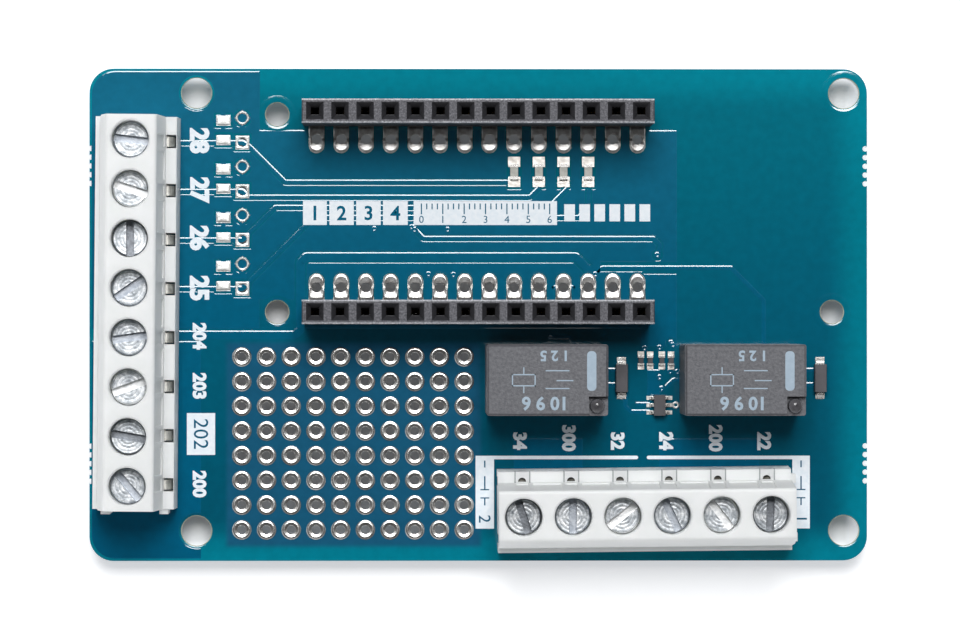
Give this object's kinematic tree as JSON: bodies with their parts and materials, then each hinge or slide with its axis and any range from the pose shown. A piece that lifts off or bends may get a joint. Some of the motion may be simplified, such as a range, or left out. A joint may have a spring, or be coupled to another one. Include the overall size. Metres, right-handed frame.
{
  "type": "relay module board",
  "caption": "Circuit board with sealed relays, screw terminal blocks with lift cages, socket strips for a controller board and a field of plated prototyping holes.",
  "frame": {"origin": "middle of the board's plan, level with the tips of the trimmed tails that it stands on", "axes": "+X along the board's length, from the input terminals towards the relays; +Y across it, from the output terminals towards the upper socket strip; +Z out of the populated face"},
  "size_m": [0.08, 0.0506, 0.0135],
  "materials": {
    "board_laminate": "teal solder mask on glass-epoxy laminate",
    "tinned_copper": "hot-tinned copper",
    "solder": "bright solder",
    "socket_plastic": "moulded glass-filled plastic, dark grey",
    "contact_bronze": "gilt phosphor bronze",
    "terminal_plastic": "moulded light grey nylon",
    "tinned_brass": "tinned brass strip",
    "plated_steel": "zinc-plated, turned and slotted",
    "relay_plastic": "moulded grey-black, sealed",
    "moulding_compound": "moulded dark grey",
    "chip_ceramic": "fired grey ceramic",
    "print_ink": "screen-printed epoxy ink, bluish white"
  },
  "bodies": {
    "board_assembly": {"circuit_board": "board_laminate", "proto_pads": "tinned_copper", "socket_pads": "tinned_copper", "divider_pads": "tinned_copper", "surface_pads": "tinned_copper", "solder_joints": "solder", "upper_socket_strip": "socket_plastic", "lower_socket_strip": "socket_plastic", "upper_socket_contacts": "contact_bronze", "lower_socket_contacts": "contact_bronze", "input_block_housing": "terminal_plastic", "output_block_housing": "terminal_plastic", "input_contact_strips": "tinned_brass", "output_contact_strips": "tinned_brass", "relay_1": "relay_plastic", "relay_2": "relay_plastic", "relay_1_pins": "solder", "relay_2_pins": "solder", "diode_bodies": "moulding_compound", "diode_leads": "solder", "filter_chips": "chip_ceramic", "filter_chip_ends": "solder", "driver_chips": "moulding_compound", "driver_chip_ends": "solder", "driver_transistors": "moulding_compound", "driver_transistor_leads": "solder"},
    "input_screw_1": {"input_screw_1": "plated_steel"},
    "input_cage_1": {"input_cage_1": "plated_steel"},
    "input_screw_2": {"input_screw_2": "plated_steel"},
    "input_cage_2": {"input_cage_2": "plated_steel"},
    "input_screw_3": {"input_screw_3": "plated_steel"},
    "input_cage_3": {"input_cage_3": "plated_steel"},
    "input_screw_4": {"input_screw_4": "plated_steel"},
    "input_cage_4": {"input_cage_4": "plated_steel"},
    "input_screw_5": {"input_screw_5": "plated_steel"},
    "input_cage_5": {"input_cage_5": "plated_steel"},
    "input_screw_6": {"input_screw_6": "plated_steel"},
    "input_cage_6": {"input_cage_6": "plated_steel"},
    "input_screw_7": {"input_screw_7": "plated_steel"},
    "input_cage_7": {"input_cage_7": "plated_steel"},
    "input_screw_8": {"input_screw_8": "plated_steel"},
    "input_cage_8": {"input_cage_8": "plated_steel"},
    "output_screw_1": {"output_screw_1": "plated_steel"},
    "output_cage_1": {"output_cage_1": "plated_steel"},
    "output_screw_2": {"output_screw_2": "plated_steel"},
    "output_cage_2": {"output_cage_2": "plated_steel"},
    "output_screw_3": {"output_screw_3": "plated_steel"},
    "output_cage_3": {"output_cage_3": "plated_steel"},
    "output_screw_4": {"output_screw_4": "plated_steel"},
    "output_cage_4": {"output_cage_4": "plated_steel"},
    "output_screw_5": {"output_screw_5": "plated_steel"},
    "output_cage_5": {"output_cage_5": "plated_steel"},
    "output_screw_6": {"output_screw_6": "plated_steel"},
    "output_cage_6": {"output_cage_6": "plated_steel"}
  },
  "joints": [
    {"name": "input_screw_1_turn", "type": "hinge", "parent": "board_assembly", "child": "input_screw_1", "pos_m": [-0.03525, 0.0177, 0.0115], "axis": [0, 0, -1], "range_deg": [0, 1440]},
    {"name": "input_cage_1_lift", "type": "slide", "parent": "board_assembly", "child": "input_cage_1", "axis": [0, 0, 1], "range_m": [0, 0.0018]},
    {"name": "input_screw_2_turn", "type": "hinge", "parent": "board_assembly", "child": "input_screw_2", "pos_m": [-0.03529, 0.0127, 0.0115], "axis": [0, 0, -1], "range_deg": [0, 1440]},
    {"name": "input_cage_2_lift", "type": "slide", "parent": "board_assembly", "child": "input_cage_2", "axis": [0, 0, 1], "range_m": [0, 0.0018]},
    {"name": "input_screw_3_turn", "type": "hinge", "parent": "board_assembly", "child": "input_screw_3", "pos_m": [-0.03533, 0.0077, 0.0115], "axis": [0, 0, -1], "range_deg": [0, 1440]},
    {"name": "input_cage_3_lift", "type": "slide", "parent": "board_assembly", "child": "input_cage_3", "axis": [0, 0, 1], "range_m": [0, 0.0018]},
    {"name": "input_screw_4_turn", "type": "hinge", "parent": "board_assembly", "child": "input_screw_4", "pos_m": [-0.03538, 0.0027, 0.0115], "axis": [0, 0, -1], "range_deg": [0, 1440]},
    {"name": "input_cage_4_lift", "type": "slide", "parent": "board_assembly", "child": "input_cage_4", "axis": [0, 0, 1], "range_m": [0, 0.0018]},
    {"name": "input_screw_5_turn", "type": "hinge", "parent": "board_assembly", "child": "input_screw_5", "pos_m": [-0.03542, -0.0023, 0.0115], "axis": [0, 0, -1], "range_deg": [0, 1440]},
    {"name": "input_cage_5_lift", "type": "slide", "parent": "board_assembly", "child": "input_cage_5", "axis": [0, 0, 1], "range_m": [0, 0.0018]},
    {"name": "input_screw_6_turn", "type": "hinge", "parent": "board_assembly", "child": "input_screw_6", "pos_m": [-0.03547, -0.0073, 0.0115], "axis": [0, 0, -1], "range_deg": [0, 1440]},
    {"name": "input_cage_6_lift", "type": "slide", "parent": "board_assembly", "child": "input_cage_6", "axis": [0, 0, 1], "range_m": [0, 0.0018]},
    {"name": "input_screw_7_turn", "type": "hinge", "parent": "board_assembly", "child": "input_screw_7", "pos_m": [-0.03551, -0.0123, 0.0115], "axis": [0, 0, -1], "range_deg": [0, 1440]},
    {"name": "input_cage_7_lift", "type": "slide", "parent": "board_assembly", "child": "input_cage_7", "axis": [0, 0, 1], "range_m": [0, 0.0018]},
    {"name": "input_screw_8_turn", "type": "hinge", "parent": "board_assembly", "child": "input_screw_8", "pos_m": [-0.03555, -0.0173, 0.0115], "axis": [0, 0, -1], "range_deg": [0, 1440]},
    {"name": "input_cage_8_lift", "type": "slide", "parent": "board_assembly", "child": "input_cage_8", "axis": [0, 0, 1], "range_m": [0, 0.0018]},
    {"name": "output_screw_1_turn", "type": "hinge", "parent": "board_assembly", "child": "output_screw_1", "pos_m": [0.0044, -0.02043, 0.0115], "axis": [0, 0, -1], "range_deg": [0, 1440]},
    {"name": "output_cage_1_lift", "type": "slide", "parent": "board_assembly", "child": "output_cage_1", "axis": [0, 0, 1], "range_m": [0, 0.0018]},
    {"name": "output_screw_2_turn", "type": "hinge", "parent": "board_assembly", "child": "output_screw_2", "pos_m": [0.0094, -0.02038, 0.0115], "axis": [0, 0, -1], "range_deg": [0, 1440]},
    {"name": "output_cage_2_lift", "type": "slide", "parent": "board_assembly", "child": "output_cage_2", "axis": [0, 0, 1], "range_m": [0, 0.0018]},
    {"name": "output_screw_3_turn", "type": "hinge", "parent": "board_assembly", "child": "output_screw_3", "pos_m": [0.0144, -0.02033, 0.0115], "axis": [0, 0, -1], "range_deg": [0, 1440]},
    {"name": "output_cage_3_lift", "type": "slide", "parent": "board_assembly", "child": "output_cage_3", "axis": [0, 0, 1], "range_m": [0, 0.0018]},
    {"name": "output_screw_4_turn", "type": "hinge", "parent": "board_assembly", "child": "output_screw_4", "pos_m": [0.0194, -0.02027, 0.0115], "axis": [0, 0, -1], "range_deg": [0, 1440]},
    {"name": "output_cage_4_lift", "type": "slide", "parent": "board_assembly", "child": "output_cage_4", "axis": [0, 0, 1], "range_m": [0, 0.0018]},
    {"name": "output_screw_5_turn", "type": "hinge", "parent": "board_assembly", "child": "output_screw_5", "pos_m": [0.0244, -0.02022, 0.0115], "axis": [0, 0, -1], "range_deg": [0, 1440]},
    {"name": "output_cage_5_lift", "type": "slide", "parent": "board_assembly", "child": "output_cage_5", "axis": [0, 0, 1], "range_m": [0, 0.0018]},
    {"name": "output_screw_6_turn", "type": "hinge", "parent": "board_assembly", "child": "output_screw_6", "pos_m": [0.0294, -0.02017, 0.0115], "axis": [0, 0, -1], "range_deg": [0, 1440]},
    {"name": "output_cage_6_lift", "type": "slide", "parent": "board_assembly", "child": "output_cage_6", "axis": [0, 0, 1], "range_m": [0, 0.0018]}
  ],
  "couplings": [
    {"joint": "input_screw_1_turn", "follows": "input_cage_1_lift", "rad_per_m": 13963},
    {"joint": "input_screw_2_turn", "follows": "input_cage_2_lift", "rad_per_m": 13963},
    {"joint": "input_screw_3_turn", "follows": "input_cage_3_lift", "rad_per_m": 13963},
    {"joint": "input_screw_4_turn", "follows": "input_cage_4_lift", "rad_per_m": 13963},
    {"joint": "input_screw_5_turn", "follows": "input_cage_5_lift", "rad_per_m": 13963},
    {"joint": "input_screw_6_turn", "follows": "input_cage_6_lift", "rad_per_m": 13963},
    {"joint": "input_screw_7_turn", "follows": "input_cage_7_lift", "rad_per_m": 13963},
    {"joint": "input_screw_8_turn", "follows": "input_cage_8_lift", "rad_per_m": 13963},
    {"joint": "output_screw_1_turn", "follows": "output_cage_1_lift", "rad_per_m": 13963},
    {"joint": "output_screw_2_turn", "follows": "output_cage_2_lift", "rad_per_m": 13963},
    {"joint": "output_screw_3_turn", "follows": "output_cage_3_lift", "rad_per_m": 13963},
    {"joint": "output_screw_4_turn", "follows": "output_cage_4_lift", "rad_per_m": 13963},
    {"joint": "output_screw_5_turn", "follows": "output_cage_5_lift", "rad_per_m": 13963},
    {"joint": "output_screw_6_turn", "follows": "output_cage_6_lift", "rad_per_m": 13963}
  ]
}
